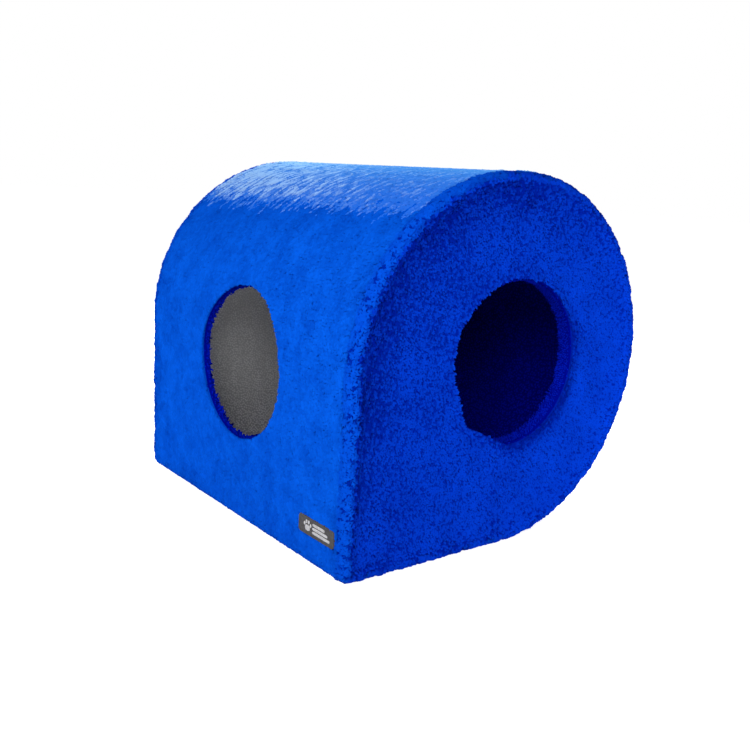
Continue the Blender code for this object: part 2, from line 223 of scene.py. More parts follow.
def plywood(name, order, ply):
    """Plywood whose thickness runs along the last of the three axes in order."""
    made, tree, shader = finish(name, Roughness=0.68)
    ring_width, next_sheet, glue_share, glue_colour = 0.014, 0.173, 0.09, (0.24, 0.14, 0.07, 1.0)
    spot = node(tree, "ShaderNodeSeparateXYZ", {0: object_point(tree)}).outputs
    across, along, through = (spot[axis] for axis in order)
    layer = calc(tree, "FLOOR", calc(tree, "DIVIDE", through, ply))
    odd = calc(tree, "PINGPONG", layer, 1.0)
    shift = calc(tree, "MULTIPLY", layer, next_sheet)
    sheets = []
    for first, second in ((across, along), (along, across)):
        point = node(tree, "ShaderNodeCombineXYZ", {0: first, 1: second, 2: shift})
        veneer = node(tree, "ShaderNodeGroup", node_tree=grain)
        tree.links.new(point.outputs[0], veneer.inputs["Point"])
        veneer.inputs["Ring Width"].default_value = ring_width
        sheets.append(veneer.outputs)
    veneers = mixed(tree, odd, sheets[0]["Color"], sheets[1]["Color"])
    glue_line = ramp(tree, calc(tree, "PINGPONG", through, ply / 2), 0.0, ply * glue_share, 0.55, 0.0)
    tree.links.new(mixed(tree, glue_line, veneers, glue_colour), shader.inputs["Base Color"])
    raised(tree, shader, sheets[0]["Height"], 0.0003)
    return made


panel_plywood = plywood("panel_plywood", "XZY", 0.0024)
board_plywood = plywood("board_plywood", "XYZ", 0.0025)


def coat(names, material):
    """Give CAD nodes their finish."""
    for name in names:
        for place in nodes[name].material_slots:
            place.material = material


coat(("front_panel", "back_panel"), panel_plywood)
coat(("floor_board",), board_plywood)


# Rails: two sawn pine stretchers under the upper bends, screwed between the end panels.
# Their grain runs from front to back.
pine, pine_tree, pine_shader = finish("pine", Roughness=0.62)
quarter_turn = (0.0, 0.0, math.radians(90))
turn = node(pine_tree, "ShaderNodeMapping", {"Vector": object_point(pine_tree), "Rotation": quarter_turn})
stick = node(pine_tree, "ShaderNodeGroup", node_tree=grain)
pine_tree.links.new(turn.outputs[0], stick.inputs["Point"])
stick.inputs["Pale"].default_value = (0.80, 0.62, 0.38, 1.0)
stick.inputs["Dark"].default_value = (0.60, 0.38, 0.18, 1.0)
stick.inputs["Ring Width"].default_value = 0.004
pine_tree.links.new(stick.outputs["Color"], pine_shader.inputs["Base Color"])
raised(pine_tree, pine_shader, stick.outputs["Height"], 0.0003)
coat(("left_rail", "right_rail"), pine)


# Shell sheet: 3 mm brown hardboard, bent round the panels and nailed to their edges.
# Its pressed fibres show as fine flecks, darker and paler than the board.
hardboard, board_tree, board_shader = finish("hardboard", Roughness=0.78)
pressed = object_point(board_tree)
fleck = noise(board_tree, pressed, 900.0, 3.0, roughness=0.7)[0]
flecks = ramp(board_tree, fleck, 0.3, 0.7)
brown = mixed(board_tree, flecks, (0.17, 0.09, 0.045, 1.0), (0.38, 0.24, 0.13, 1.0))
clouds = calc(board_tree, "MULTIPLY", noise(board_tree, pressed, 40.0, 2.0)[0], 0.4)
brown = mixed(board_tree, clouds, brown, (0.25, 0.15, 0.08, 1.0))
board_tree.links.new(brown, board_shader.inputs["Base Color"])
raised(board_tree, board_shader, fleck, 0.0002)
coat(("shell_sheet",), hardboard)


# Screws and nails: zinc-plated steel, countersunk flush. The plating is a little cloudy, and
# duller in small spangles.
zinc, zinc_tree, zinc_shader = finish("zinc_steel", Metallic=1.0)
plated = object_point(zinc_tree)
haze = noise(zinc_tree, plated, 700.0, 3.0)[0]
spangle = node(zinc_tree, "ShaderNodeTexVoronoi", {"Vector": plated, "Scale": 900.0})
plating = mixed(zinc_tree, haze, (0.50, 0.52, 0.55, 1.0), (0.74, 0.75, 0.76, 1.0))
zinc_tree.links.new(plating, zinc_shader.inputs["Base Color"])
dull = ramp(zinc_tree, spangle.outputs["Distance"], 0.0, 0.9, 0.28, 0.46)
zinc_tree.links.new(dull, zinc_shader.inputs["Roughness"])
coat([name for name in nodes if "_screw_" in name or "_nail_" in name], zinc)


# Front cover: royal-blue plush glued over the front panel, with the entry cut out, and padded
# into a roll round the rim. Its blue is darker and deeper than the shell's: painted shade for
# the face, which the lamps light less. The pile is tufts of soft yarn, bent and clumped together,
# with pits between them that are painted darker as shade. On the roll's left and upper sides,
# which face the lamps, the tufts are painted paler as light.
FRONT = -0.213
LEFT = -0.208
HEIGHT = 0.400
BEND = 0.200
BEND_CENTRE = (0.008, 0.200)
CORNER = 0.012
RIM = 0.010
ENTRY = (0.011, 0.202, 0.091)
HOLE_SIDES = 72
BEND_STEPS = 21

# How deep the woven ground's outer face and the glued face lie, and the padded roll's section
BACKING = 0.0018
COVER = 0.005
ROLL_RADIUS = 0.0085
ROLL_INSET = BACKING + ROLL_RADIUS
ROLL_DEPTH = 0.0053


def house_outline(inset):
    """Front-view outline (x, z) this far inside the plush, from the lower right round."""
    right, height = BEND_CENTRE
    corners = (
        (right, height, BEND, BEND_STEPS), (right, height, BEND, BEND_STEPS),
        (LEFT + BEND, height, BEND, BEND_STEPS), (LEFT + CORNER, CORNER, CORNER, 4),
    )
    points = []
    for quarter, (x, z, radius, steps) in enumerate(corners):
        reach = max(radius - inset, 0.0)
        for step in range(quarter == 1, steps + 1):
            angle = math.radians(90 * (quarter - 1 + step / steps))
            points.append((x + reach * math.cos(angle), z + reach * math.sin(angle)))
    return points


def round_hole(across, up, radius):
    """Points of a hole's rim, in the plane of the wall that it is cut in."""
    angles = [math.tau * side / HOLE_SIDES for side in range(HOLE_SIDES)]
    return [(across + radius * math.cos(angle), up + radius * math.sin(angle)) for angle in angles]


def join_rings(shape, near, far):
    """Faces between two rings of as many vertices."""
    rows = range(len(near))
    return [shape.faces.new((near[row - 1], near[row], far[row], far[row - 1])) for row in rows]


def as_object(name, shape):
    """A finished shape as an object in the scene."""
    mesh = bpy.data.meshes.new(name)
    shape.to_mesh(mesh)
    shape.free()
    item = bpy.data.objects.new(name, mesh)
    scene.collection.objects.link(item)
    return item


def empty_ground():
    """A new shape with its marks: the faces with pile, its way over a rim, and places on the cloth."""
    shape = bmesh.new()
    over = shape.verts.layers.float_vector
    return shape, shape.faces.layers.bool.new("pile_side"), over.new("rim"), over.new("place")


def ground(name, shape):
    """The plush's woven ground as a closed solid."""
    bmesh.ops.remove_doubles(shape, verts=shape.verts, dist=1e-6)
    bmesh.ops.recalc_face_normals(shape, faces=shape.faces)
    if shape.calc_volume(signed=True) < 0:
        bmesh.ops.reverse_faces(shape, faces=shape.faces)
    cloth = shape.loops.layers.float_vector.new("cloth")
    place = shape.verts.layers.float_vector["place"]
    for face in shape.faces:
        for corner in face.loops:
            corner[cloth] = corner.vert[place]
    shape.verts.layers.float_vector.remove(place)
    return as_object(name, shape)


def end_backing(name, side, part, hole=None):
    """Ground of the plush on an end face, or on the padded roll round it."""
    shape, grows, rim_way, place = empty_ground()

    def roll(angle, extra):
        turn = math.radians(angle)
        return ROLL_INSET - ROLL_RADIUS * math.sin(turn), ROLL_DEPTH - ROLL_RADIUS * math.cos(turn), extra

    # Rings round the outline: how far inside it, how deep, and how far the pile leans out over it
    if part == "roll":
        rings = [(ROLL_INSET, COVER, 0.0)] + [roll(angle, 1.0 - angle / 180) for angle in range(0, 91, 6)]
        rings += [(BACKING, RIM, 0.5), (COVER, RIM, 0.0), (COVER, COVER, 0.0)]
        first, last = 1, len(rings) - 3
    else:
        rings = [(0.058, BACKING, 0.0), (0.040, BACKING - 0.0003, 0.3), (0.026, BACKING - 0.0013, 0.6)]
        rings += [roll(angle, 0.9) for angle in range(-42, 1, 6)] + [(ROLL_INSET, COVER, 0.0)]
        first, last = 0, len(rings) - 2
    outer = zip(house_outline(0.0), house_outline(RIM))
    ways = [Vector((a - b, 0.0, c - d)).normalized() for (a, c), (b, d) in outer]
    loops = [(house_outline(inset), depth, [way * extra for way in ways]) for inset, depth, extra in rings]
    if hole:
        x, z, radius = hole
        aims = [Vector((a - x, 0.0, b - z)).normalized() for a, b in loops[0][0]]
        for reach, depth, extra in ((0.015, BACKING, 0.0), (0.0, BACKING, -2.1), (0.0, COVER, 0.0)):
            rim = [(x + (radius + reach) * aim.x, z + (radius + reach) * aim.z) for aim in aims]
            loops.insert(0, (rim, depth, [aim * extra for aim in aims]))
        first, last = 1, len(loops) - 2
    made = []
    for points, depth, leans in loops:
        made.append([shape.verts.new((x, side * (FRONT + depth), z)) for x, z in points])
        for vert, lean in zip(made[-1], leans):
            vert[rim_way] = lean
            vert[place] = (vert.co.x, vert.co.z, vert.co.y)
    closed = hole or part == "roll"
    for number, (near, far) in enumerate(zip(made, made[1:] + made[:1] if closed else made[1:])):
        for face in join_rings(shape, near, far):
            face[grows] = first <= number < last
    if not closed:
        shape.faces.new(made[0])[grows] = True
        shape.faces.new(made[-1])
    return ground(name, shape)


def pile_tree():
    """Tree that strews bent tufts over a backing, clumps them, and joins them to it."""
    tree = bpy.data.node_groups.new("plush_pile", "GeometryNodeTree")
    still = (0.0, 0.0, 0.0)
    tree.interface.new_socket("Geometry", in_out="INPUT", socket_type="NodeSocketGeometry")
    for kind, defaults in {
        "Float": {
            "Spacing": 0.0020, "Length": 0.0032, "Tuft Radius": 0.0012, "Uneven": 0.15, "Scatter": 0.0005,
            "Rim Length": 0.0014, "Rim Lean": 0.0010, "Rim Swell": 0.0018, "Swell Size": 0.018,
            "Clump Size": 0.007, "Clump Pull": 0.25, "Swirl Size": 0.014, "Swirl": 0.002,
            "Patch Size": 0.05, "Patches": 0.5, "Mottle": 0.15, "Pit Size": 0.0055, "Pits": 0.6,
            "Slant": 0.0, "Streaks": 0.0, "Ridges": 0.0, "Rim Shade": 0.15,
            "Brushed Above": 9.0, "Brushed Tone": 0.65,
        },
        "Vector": {
            "Nap": still, "Shade": still, "Pit Fade": still, "Streak Size": (0.016, 0.004, 0.016),
            "Brushed Way": (0.0, 0.0, 1.0), "Lit Side Facing": still, "Painted Highlight Fade": still,
            "Bare Low": still, "Bare High": still,
        },
        "Material": {"Plush": None, "Brushed": None},
        "Int": {"Seed": 1},
    }.items():
        for name, value in defaults.items():
            socket = tree.interface.new_socket(name, in_out="INPUT", socket_type="NodeSocket" + kind)
            if value is not None:
                socket.default_value = value
    tree.interface.new_socket("Geometry", in_out="OUTPUT", socket_type="NodeSocketGeometry")
    given = node(tree, "NodeGroupInput").outputs
    times, minus = partial(calc, tree, "MULTIPLY"), partial(calc, tree, "SUBTRACT")
    times_plus = partial(calc, tree, "MULTIPLY_ADD")

    def vector(operation, first, second=still, scale=None):
        made = node(tree, "ShaderNodeVectorMath", {0: first, 1: second}, operation=operation)
        if scale is not None:
            tree.links.new(scale, made.inputs["Scale"])
        return made.outputs["Value" if operation in ("DOT_PRODUCT", "LENGTH") else "Vector"]

    def compose(x=0.0, y=0.0, z=0.0):
        return node(tree, "ShaderNodeCombineXYZ", {0: x, 1: y, 2: z}).outputs[0]

    def axes(value):
        return node(tree, "ShaderNodeSeparateXYZ", {0: value}).outputs

    def step(kind, inputs, **settings):
        return node(tree, "GeometryNode" + kind, inputs, **settings).outputs[0]

    def named(name, kind):
        return step("InputNamedAttribute", {"Name": name}, data_type=kind)

    def store(shape, name, kind, value, domain="POINT"):
        inputs = {"Geometry": shape, "Name": name, "Value": value}
        return step("StoreNamedAttribute", inputs, data_type=kind, domain=domain)

    def chance(low, high, seed):
        inputs = {2: low, 3: high, "Seed": seed}
        return node(tree, "FunctionNodeRandomValue", inputs, data_type="FLOAT").outputs[1]

    spot = step("InputPosition", {})

    def waves(size, detail=1.0):
        return noise(tree, spot, calc(tree, "DIVIDE", 1.0, given[size]), detail)

    # Where the tufts stand
    crowding = 12.0
    square = times(given["Spacing"], given["Spacing"])
    strewn = node(tree, "GeometryNodeDistributePointsOnFaces", {
        "Mesh": given["Geometry"], "Selection": named("pile_side", "BOOLEAN"), "Seed": given["Seed"],
        "Distance Min": given["Spacing"], "Density Max": calc(tree, "DIVIDE", crowding, square),
    }, distribute_method="POISSON")
    outward = strewn.outputs["Normal"]

    # Which way each one leans: to the middle of its clump, along a slow swirl, and with the nap
    rim_pull, spread = 0.12, 4.0
    clump_scale = calc(tree, "DIVIDE", 1.0, given["Clump Size"])
    clump = node(tree, "ShaderNodeTexVoronoi", {"Vector": spot, "Scale": clump_scale}).outputs
    rim = named("rim", "FLOAT_VECTOR")
    near_rim = calc(tree, "MINIMUM", vector("LENGTH", rim), 1.0)
    gather = times_plus(near_rim, rim_pull, given["Clump Pull"])
    pull = vector("SCALE", vector("SUBTRACT", clump["Position"], spot), scale=gather)
    curl = vector("SUBTRACT", waves("Swirl Size")["Color"], (0.5, 0.5, 0.5))
    curl = vector("SCALE", curl, scale=times(given["Swirl"], spread))
    ends = {0: (-1.0, -1.0, -1.0), 1: (1.0, 1.0, 1.0), "Seed": 3}
    stray = node(tree, "FunctionNodeRandomValue", ends, data_type="FLOAT_VECTOR").outputs[0]
    stray = vector("SCALE", stray, scale=given["Scatter"])
    over = vector("SCALE", rim, scale=given["Rim Lean"])
    lean = vector("ADD", vector("ADD", pull, curl), vector("ADD", stray, vector("ADD", given["Nap"], over)))
    lean = vector("SUBTRACT", lean, vector("SCALE", outward, scale=vector("DOT_PRODUCT", lean, outward)))

    # How long each one is: longer near a rim, in waves, and in the middle of its clump
    crown_height, crown_fall = 1.08, 0.2
    swell = times(minus(waves("Swell Size")[0], 0.5), spread)
    swell = times_plus(swell, given["Rim Swell"], given["Rim Length"])
    length = times_plus(near_rim, swell, given["Length"])
    uneven = minus(1.0, times(chance(0.0, 1.0, 5), given["Uneven"]))
    crown = minus(crown_height, times(clump["Distance"], crown_fall))
    length = times(length, times(uneven, crown))

    # How pale each one is, from 0 to 1: first in broad patches
    middle_tone = 0.65
    patchy = minus(waves("Patch Size", 3.0)[0], 0.5)
    tone = times_plus(patchy, given["Patches"], middle_tone)

    # Then in slanting streaks where the pile is brushed, past a border that wanders. There the
    # tufts take the second material, and the sheen tone paints them paler: a painted highlight on
    # the top, painted light on a roll's lit side
    wander, border, full, pale_gain, dim_gain = 0.045, -0.004, 0.014, 1.4, 0.3
    cloth = named("cloth", "FLOAT_VECTOR")
    slope = compose(y=times(axes(cloth)[0], given["Slant"]))
    combed = vector("DIVIDE", vector("SUBTRACT", cloth, slope), given["Streak Size"])
    streak = minus(noise(tree, combed, 1.0, 2.0)[0], 0.5)
    facing = vector("DOT_PRODUCT", outward, given["Lit Side Facing"])
    level = calc(tree, "ADD", vector("DOT_PRODUCT", spot, given["Brushed Way"]), facing)
    level = minus(times_plus(streak, wander, level), given["Brushed Above"])
    brushed = calc(tree, "GREATER_THAN", level, border)
    rising = ramp(tree, level, border, full)
    streak = times(streak, rising)
    # Painted highlight: past the border a tone that fades across the cloth takes the place of the tufts' own
    # tone, and makes the streaks stronger
    sheen = minus(given["Brushed Tone"], vector("DOT_PRODUCT", spot, given["Painted Highlight Fade"]))
    sheen = times(calc(tree, "MAXIMUM", sheen, 0.0), rising)
    streak = times(streak, times_plus(sheen, pale_gain, dim_gain))
    tone = node(tree, "ShaderNodeMix", {0: brushed, 2: tone, 3: sheen}).outputs[0]
    tone = times_plus(streak, given["Streaks"], tone)
    length = times(length, times_plus(streak, given["Ridges"], 1.0))

    # Then darker in the pits, where the tufts are also shorter, as painted shade in the hollows, and
    # darker on the side of a rim that turns from the lamps, as painted shade
    pit_painted_shade, pit_length, rim_pits, patch_pits, rim_depth = -0.4, -0.45, 0.02, -0.3, 0.15
    gathered = times_plus(near_rim, rim_pits, waves("Pit Size")[0])
    gathered = times_plus(patchy, patch_pits, gathered)
    gathered = minus(gathered, vector("DOT_PRODUCT", spot, given["Pit Fade"]))
    deep = calc(tree, "ADD", times(near_rim, rim_depth), given["Pits"])
    pit_edge, pit_bottom = 0.55, 0.68
    pit = times(ramp(tree, gathered, pit_edge, pit_bottom), deep)
    tone = times_plus(pit, pit_painted_shade, tone)
    length = times(length, times_plus(pit, pit_length, 1.0))
    dark_side = calc(tree, "MAXIMUM", vector("DOT_PRODUCT", rim, given["Shade"]), 0.0)
    dark_side = times_plus(near_rim, given["Rim Shade"], dark_side)
    faint, strong = 0.6, 1.5
    spotted = ramp(tree, gathered, 0.42, 0.64, faint, strong)
    tone = minus(tone, times(dark_side, spotted))

    # And last a little at random, for each clump and each tuft
    clump_tone = node(tree, "FunctionNodeSeparateColor", {0: clump["Color"]}).outputs[0]
    tone = times_plus(minus(clump_tone, 0.5), given["Mottle"], tone)
    tone = times_plus(chance(-0.5, 0.5, 11), given["Mottle"], tone)
    darkest, palest = 0.03, 0.97
    tone = node(tree, "ShaderNodeClamp", {0: tone, 1: darkest, 2: palest}).outputs[0]

    def less(first, second):
        settings = {"data_type": "VECTOR", "mode": "ELEMENT", "operation": "LESS_THAN"}
        return node(tree, "FunctionNodeCompare", {4: first, 5: second}, **settings).outputs[0]

    # The points keep all that, and none stand in the bare box
    inside = {0: less(given["Bare Low"], spot), 1: less(spot, given["Bare High"])}
    bare = node(tree, "FunctionNodeBooleanMath", inside, operation="AND").outputs[0]
    points = strewn.outputs["Points"]
    for name, kind, value in (
        ("lean", "FLOAT_VECTOR", lean), ("tone", "FLOAT", tone), ("pit", "FLOAT", pit),
        ("brushed", "BOOLEAN", brushed), ("outward", "FLOAT_VECTOR", outward),
    ):
        points = store(points, name, kind, value)
    points = step("DeleteGeometry", {"Geometry": points, "Selection": bare}, domain="POINT")

    # One tuft: three-sided and open below, as wide at its belly as at its root, and then pointed
    belly, root, skew = 0.78, -0.1, 0.37
    spike = {"Vertices": 3, "Side Segments": 2, "Radius Top": 0.0, "Radius Bottom": 1.0, "Depth": 1.0}
    tuft = step("MeshCone", spike, fill_type="NONE")
    at = axes(spot)
    width = ramp(tree, at["Z"], 0.0, 0.5, 1.0, 2.0)
    lift = times(calc(tree, "ABSOLUTE", minus(at["Z"], 0.5)), 4.0 * belly - 2.0)
    lift = minus(2.0 * belly, lift)
    full_shape = vector("MULTIPLY", spot, compose(width, width, lift))
    tuft = step("SetPosition", {"Geometry": tuft, "Position": full_shape})
    tuft = store(tuft, "up", "FLOAT", at["Z"])
    tuft = store(tuft, "across", "FLOAT", times_plus(at["Y"], skew, at["X"]))
    tuft = step("SetPosition", {"Geometry": tuft, "Offset": (0.0, 0.0, root)})

    # The tufts on their points, bent over and kept above the floor that the house stands on
    curve, floor_gap = 1.6, 0.0003
    turn = {"Axis": (0.0, 0.0, 1.0), "Angle": chance(0.0, math.tau, 7)}
    spin = {0: strewn.outputs["Rotation"], 1: node(tree, "FunctionNodeAxisAngleToRotation", turn).outputs[0]}
    turned = node(tree, "FunctionNodeRotateRotation", spin, rotation_space="LOCAL").outputs[0]
    size = compose(given["Tuft Radius"], given["Tuft Radius"], length)
    tufts = step("InstanceOnPoints", {"Points": points, "Instance": tuft, "Rotation": turned, "Scale": size})
    tufts = step("RealizeInstances", {0: tufts})
    rise = named("up", "FLOAT")
    bend = vector("SCALE", named("lean", "FLOAT_VECTOR"), scale=calc(tree, "POWER", rise, curve))
    tufts = step("SetPosition", {"Geometry": tufts, "Offset": bend})
    grounded = compose(at["X"], at["Y"], calc(tree, "MAXIMUM", at["Z"], floor_gap))
    tufts = step("SetPosition", {"Geometry": tufts, "Position": grounded})

    # Their UV map holds the tone and the height, which sinks in a pit; the ground's stays lowest.
    # Low heights take the gap colour, which is painted shade between the tufts
    side_tone, pit_sink, lowest, span = 0.012, -0.75, 0.02, 0.96
    yarn_tone = times_plus(named("across", "FLOAT"), side_tone, named("tone", "FLOAT"))
    yarn_height = times(rise, times_plus(named("pit", "FLOAT"), pit_sink, 1.0))
    yarn_height = times_plus(yarn_height, span, lowest)
    tufts = store(tufts, "OFBake", "FLOAT2", compose(yarn_tone, yarn_height), "CORNER")
    tufts = step("SetShadeSmooth", {"Geometry": tufts})
    lower = compose(
        times_plus(vector("DOT_PRODUCT", spot, (0.83, 0.41, 0.37)), 0.4, 0.5),
        times_plus(vector("DOT_PRODUCT", spot, (0.29, -0.71, 0.53)), 0.02, lowest),
    )
    both = node(tree, "GeometryNodeJoinGeometry", {
        0: store(given["Geometry"], "OFBake", "FLOAT2", lower, "CORNER"),
    })
    tree.links.new(tufts, both.inputs[0])
    shape = step("SetMaterial", {"Geometry": both.outputs[0], "Material": given["Plush"]})
    shape = step("SetMaterial", {
        "Geometry": shape, "Selection": named("brushed", "BOOLEAN"), "Material": given["Brushed"],
    })
    for name in ("lean", "tone", "up", "across", "rim", "cloth", "pile_side", "pit", "brushed"):
        shape = step("RemoveAttribute", {"Geometry": shape, "Name": name})
    node(tree, "NodeGroupOutput", {0: shape})
    return tree


pile = pile_tree()


def soften(mesh, share):
    """Turn the tufts' shading this far towards the cloth under them, as soft yarn looks."""
    count = len(mesh.vertices)
    own, cloth = np.zeros(count * 3, "f"), np.zeros(count * 3, "f")
    mesh.vertex_normals.foreach_get("vector", own)
    mesh.attributes["outward"].data.foreach_get("vector", cloth)
    own, cloth = own.reshape(-1, 3), cloth.reshape(-1, 3)
    blend = own * (1.0 - share) + cloth * share
    blend[~cloth.any(axis=1)] = own[~cloth.any(axis=1)]
    blend /= np.maximum(np.linalg.norm(blend, axis=1, keepdims=True), 1e-6)
    mesh.normals_split_custom_set_from_vertices(blend)
    mesh.attributes.remove(mesh.attributes["outward"])


def applied(item):
    """Mesh of an item with its modifiers applied, which are then taken off."""
    graph = bpy.context.evaluated_depsgraph_get()
    mesh = bpy.data.meshes.new_from_object(item.evaluated_get(graph), depsgraph=graph)
    item.modifiers.clear()
    return mesh


def grow_pile(item, soft=0.8, **sizes):
    """Grow the pile on a backing, and leave one plain mesh of both."""
    modifier = item.modifiers.new("pile", "NODES")
    modifier.node_group = pile
    for socket in pile.interface.items_tree:
        key = socket.name.replace(" ", "_").lower()
        if socket.in_out == "INPUT" and key in sizes:
            modifier[socket.identifier] = sizes[key]
    mesh = applied(item)
    kept = [sizes[key] for key in ("plush", "brushed") if key in sizes]
    order = np.array([kept.index(made) if made in kept else 0 for made in mesh.materials])
    slots = np.zeros(len(mesh.polygons), "i")
    mesh.polygons.foreach_get("material_index", slots)
    mesh.materials.clear()
    for material in kept:
        mesh.materials.append(material)
    mesh.polygons.foreach_set("material_index", order[slots])
    soften(mesh, soft)
    item.data = mesh
    return item


# The yarn: deep to pale by its tone, and towards the gap colour low down, which is painted shade between the
# tufts.
pile_colour, pile_in, pile_out = shader_group(
    "pile_colour",
    {"Pile": ("vector", None), "Gap": ("colour", None), "Deep": ("colour", None), "Pale": ("colour", None)},
    {"Color": "colour", "Roughness": "number"},
)
part = node(pile_colour, "ShaderNodeSeparateXYZ", {0: pile_in["Pile"]}).outputs
yarn = mixed(pile_colour, part["X"], pile_in["Deep"], pile_in["Pale"])
lit = ramp(pile_colour, part["Y"], 0.02, 0.75)
pile_colour.links.new(mixed(pile_colour, lit, pile_in["Gap"], yarn), pile_out["Color"])
pile_colour.links.new(ramp(pile_colour, part["Y"], 0.0, 1.0, 0.9, 0.6), pile_out["Roughness"])


def plush(name, gap, deep, pale, **sockets):
    """Plush yarn: dark between the tufts as painted shade, and paler at their tips."""
    made, tree, shader = finish(name, Specular_IOR_Level=0.0, **sockets)
    yarn = node(tree, "ShaderNodeGroup", node_tree=pile_colour)
    tree.links.new(node(tree, "ShaderNodeUVMap", uv_map="OFBake").outputs[0], yarn.inputs["Pile"])
    for label, colour in (("Gap", gap), ("Deep", deep), ("Pale", pale)):
        yarn.inputs[label].default_value = (*colour, 1.0)
    tree.links.new(yarn.outputs["Color"], shader.inputs["Base Color"])
    tree.links.new(yarn.outputs["Roughness"], shader.inputs["Roughness"])
    return made


# The front's blue is darker and deeper than the shell's, as painted shade for the face that the lamps light
# less; the back cover and the roll's front side use it too.
front_blue = plush("front_blue_plush", (0.0, 0.013, 0.34), (0.0002, 0.012, 0.32), (0.001, 0.059, 0.75))
shell_blue = plush("shell_blue_plush", (0.0, 0.060, 0.52), (0.0003, 0.050, 0.46), (0.0020, 0.116, 0.80))
# A paler copy, painted light, for the roll's sides that face the lamps.
edge_blue = plush("edge_blue_plush", (0.0, 0.016, 0.31), (0.0003, 0.040, 0.46), (0.0016, 0.104, 0.79))
face_pile = {
    "tuft_radius": 0.0017, "uneven": 0.08, "rim_length": 0.0008, "nap": (0.0, 0.0, -0.0012),
    "clump_pull": 0.12, "swirl": 0.0010, "scatter": 0.0004,
    "mottle": 0.08, "pits": 0.7, "pit_size": 0.0045, "soft": 0.93, "plush": front_blue,
}
# Painted shade darkens the face near its left and top rims, and round the entry's lower right side.
front_cover = grow_pile(
    end_backing("front_cover_plush", 1, "face", ENTRY), seed=1, rim_shade=0.06, shade=(-0.22, 0.0, 0.22),
    pit_fade=(0.3, 0.0, -0.15), **face_pile,
)
# On the roll, tufts whose side faces left and up, towards the lamps, take the paler edge blue and a set tone:
# painted light.
edge_pile = {
    "length": 0.0027, "tuft_radius": 0.0022, "uneven": 0.05, "rim_length": 0.0008,
    "rim_swell": 0.0016, "swell_size": 0.010, "clump_pull": 0.25, "clump_size": 0.0055, "scatter": 0.0003,
    "rim_shade": 0.05, "mottle": 0.2, "pits": 1.0, "pit_size": 0.0065, "soft": 0.92, "plush": front_blue,
    "brushed_way": (0.0, 0.0, -0.02), "lit_side_facing": (-0.05, 0.0, 0.015), "brushed_above": 0.006,
    "brushed_tone": 0.52, "streak_size": (0.010, 0.010, 0.010), "brushed": edge_blue,
}
front_roll = grow_pile(end_backing("front_roll_plush", 1, "roll"), seed=3, **edge_pile)
for piece in (front_cover, front_roll):
    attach(piece, "root")
    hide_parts("front_cover")


# Back cover: the same plush over the back panel, in the front's darker blue with its painted shade, plain,
# and turned over the rim alike.
back_cover = grow_pile(
    end_backing("back_cover_plush", -1, "face"), seed=2, spacing=0.0022, rim_shade=0.10, **face_pile,
)
back_roll = grow_pile(end_backing("back_roll_plush", -1, "roll"), seed=4, **edge_pile)
for piece in (back_cover, back_roll):
    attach(piece, "root")
    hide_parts("back_cover")


# Shell cover: one length of the same plush, wrapped round the bent sheet from front rim to
# back rim, with the window cut out. Its pile lies down the walls, is brushed into streaks with a
# sheen over the top, where a painted highlight makes them pale, palest at the back left, and is
# pressed flat underneath. It is made in five bands that meet unseen.
WINDOW = (-0.0052, 0.180, 0.086)


def run_along(path):
    """Length from the start of a path to each of its points."""
    runs = [0.0]
    for here, following in zip(path, path[1:]):
        runs.append(runs[-1] + math.dist(here, following))
    return runs


def strip_backing(name, pile_path, glued_path, stations, start=0.0):
    """Ground of a plush strip between two paths of the front view, from front to back."""
    shape, grows, rim_way, place = empty_ground()
    runs = run_along(pile_path)
    rings = []
    for y, extra in stations:
        ring = [shape.verts.new((x, y, z)) for x, z in pile_path + glued_path[::-1]]
        for vert, run in zip(ring, runs + runs[::-1]):
            vert[rim_way] = Vector((0.0, math.copysign(extra, y), 0.0))
            vert[place] = (-start - run, y, 0.0)
        rings.append(ring)
    count = len(rings[0])
    for near, far in zip(rings, rings[1:]):
        for index in range(count):
            following = (index + 1) % count
            face = shape.faces.new((near[index], near[following], far[following], far[index]))
            face[grows] = index < len(pile_path) - 1
    for ring in (rings[0], rings[-1]):
        for index in range(len(pile_path) - 1):
            shape.faces.new((ring[index], ring[index + 1], ring[count - 2 - index], ring[count - 1 - index]))
    return ground(name, shape)


def cut_hole(item, start, end):
    """Cut a round hole through a backing, between two rims of points."""
    shape, *_ = empty_ground()
    ends = [[shape.verts.new(point) for point in rim] for rim in (start, end)]
    join_rings(shape, *ends)
    for rim in ends:
        shape.faces.new(rim)
    cutter = ground("hole_cutter", shape)
    modifier = item.modifiers.new("hole", "BOOLEAN")
    modifier.operation = "DIFFERENCE"
    modifier.solver = "EXACT"
    modifier.object = cutter
    item.data = applied(item)
    bpy.data.objects.remove(cutter)


def cut_window(item):
    """Cut the round window through a backing on the left wall, from well outside to well inside."""
    cut_hole(item, *[[(x, y, z) for y, z in round_hole(*WINDOW)] for x in (-0.25, -0.05)])


# The top's material: a real sheen, and a pale blue at high tones that is a painted highlight.
sheen_and_painted_highlight_blue = plush(
    "brushed_blue_plush", (0.0, 0.060, 0.52), (0.0010, 0.115, 0.78), (0.330, 0.530, 1.0),
    Sheen_Weight=0.25, Sheen_Roughness=0.5, Sheen_Tint=(0.25, 0.85, 1.0, 1.0),
)
edge, bent = FRONT + RIM + 0.0003, 0.012
stations = ((edge, 0.7), (edge + bent, 0.0), (-edge - bent, 0.0), (-edge, 0.7))

# The left wall is bare under the glued tag
tag_space = {"bare_low": (-0.25, -0.2008, 0.0328), "bare_high": (-0.19, -0.1382, 0.0522)}
smooth = {
    "length": 0.0030, "tuft_radius": 0.0023, "uneven": 0.06, "swirl": 0.001, "scatter": 0.0003,
    "clump_pull": 0.12, "patches": 1.1, "patch_size": 0.03, "mottle": 0.24, "pits": 0.3,
    "soft": 0.95, "plush": shell_blue,
}
